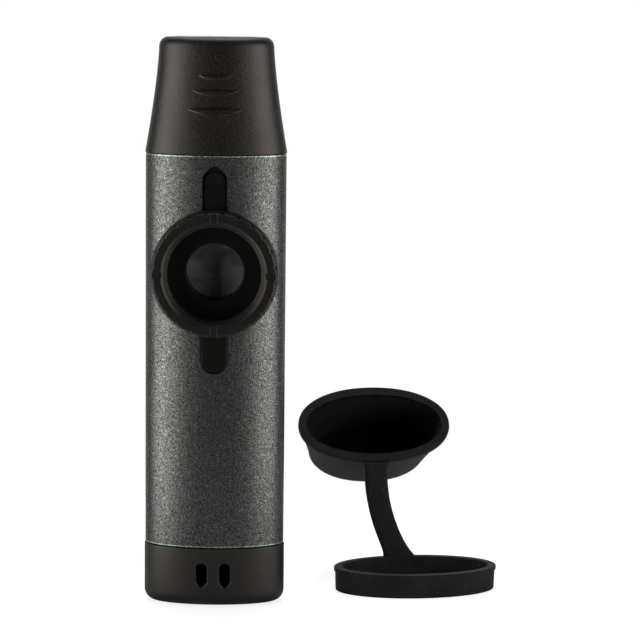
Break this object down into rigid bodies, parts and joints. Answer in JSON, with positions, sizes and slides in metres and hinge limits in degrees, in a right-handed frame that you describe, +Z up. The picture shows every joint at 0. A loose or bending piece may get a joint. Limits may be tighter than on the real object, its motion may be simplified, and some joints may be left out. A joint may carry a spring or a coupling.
{
  "type": "membrane whistle",
  "caption": "Oval metal membrane whistle with a flared mouthpiece, slotted end cap, a screw ring that sets the membrane, and a rubber dust cap on a strap and keeper ring.",
  "frame": {"origin": "middle of the whistle's flat foot, where it stands", "axes": "+Z up the whistle to the mouthpiece, -Y out of the front with the screw ring, +X to the side where the dust cap set stands"},
  "size_m": [0.0759, 0.0538, 0.1196],
  "materials": {
    "painted_tube": "speckled dark green-grey metallic paint",
    "moulded_plastic": "fine matte moulded brown-black",
    "ring_plastic": "smooth black",
    "rubber": "dull black",
    "film": "slightly wrinkled dark grey film",
    "spring_steel": "bright",
    "bare_aluminium": "turned"
  },
  "bodies": {
    "whistle": {"body_tube": "painted_tube", "mouthpiece": "moulded_plastic", "end_cap": "moulded_plastic", "mouthpiece_seal": "rubber", "end_cap_seal": "rubber", "turret_base": "moulded_plastic", "base_clip": "spring_steel", "membrane": "film", "membrane_hoop": "bare_aluminium", "seat_gasket": "rubber"},
    "presser": {"clamp_insert": "moulded_plastic", "slip_washer": "ring_plastic"},
    "screw_ring": {"screw_ring": "ring_plastic", "ring_o_ring": "rubber"},
    "keeper": {"keeper_ring": "rubber"},
    "strap": {"strap_lower": "rubber", "strap_upper": "rubber"},
    "cap": {"dust_cap": "rubber"}
  },
  "joints": [
    {"name": "ring_lift", "type": "slide", "parent": "whistle", "child": "presser", "axis": [0, -1, 0], "range_m": [0, 0.00075]},
    {"name": "ring_turn", "type": "hinge", "parent": "presser", "child": "screw_ring", "pos_m": [0, -0.0104, 0.071], "axis": [0, -1, 0], "range_deg": [0, 270]},
    {"name": "cap_set_lift", "type": "slide", "parent": "whistle", "child": "keeper", "axis": [0, 0, 1], "range_m": [0, 0.06]},
    {"name": "strap_bend", "type": "hinge", "parent": "keeper", "child": "strap", "pos_m": [0.03994, 0.01984, 0.0053], "axis": [0.9914, 0.1305, 0], "range_deg": [-10, 15], "stiffness_Nm_per_rad": 0.012},
    {"name": "cap_flip", "type": "hinge", "parent": "strap", "child": "cap", "pos_m": [0.0346, 0.02065, 0.0254], "axis": [0.9914, 0.1305, 0], "range_deg": [0, 120], "stiffness_Nm_per_rad": 0.012}
  ],
  "couplings": [
    {"joint": "ring_turn", "follows": "ring_lift", "rad_per_m": 6283.2}
  ]
}
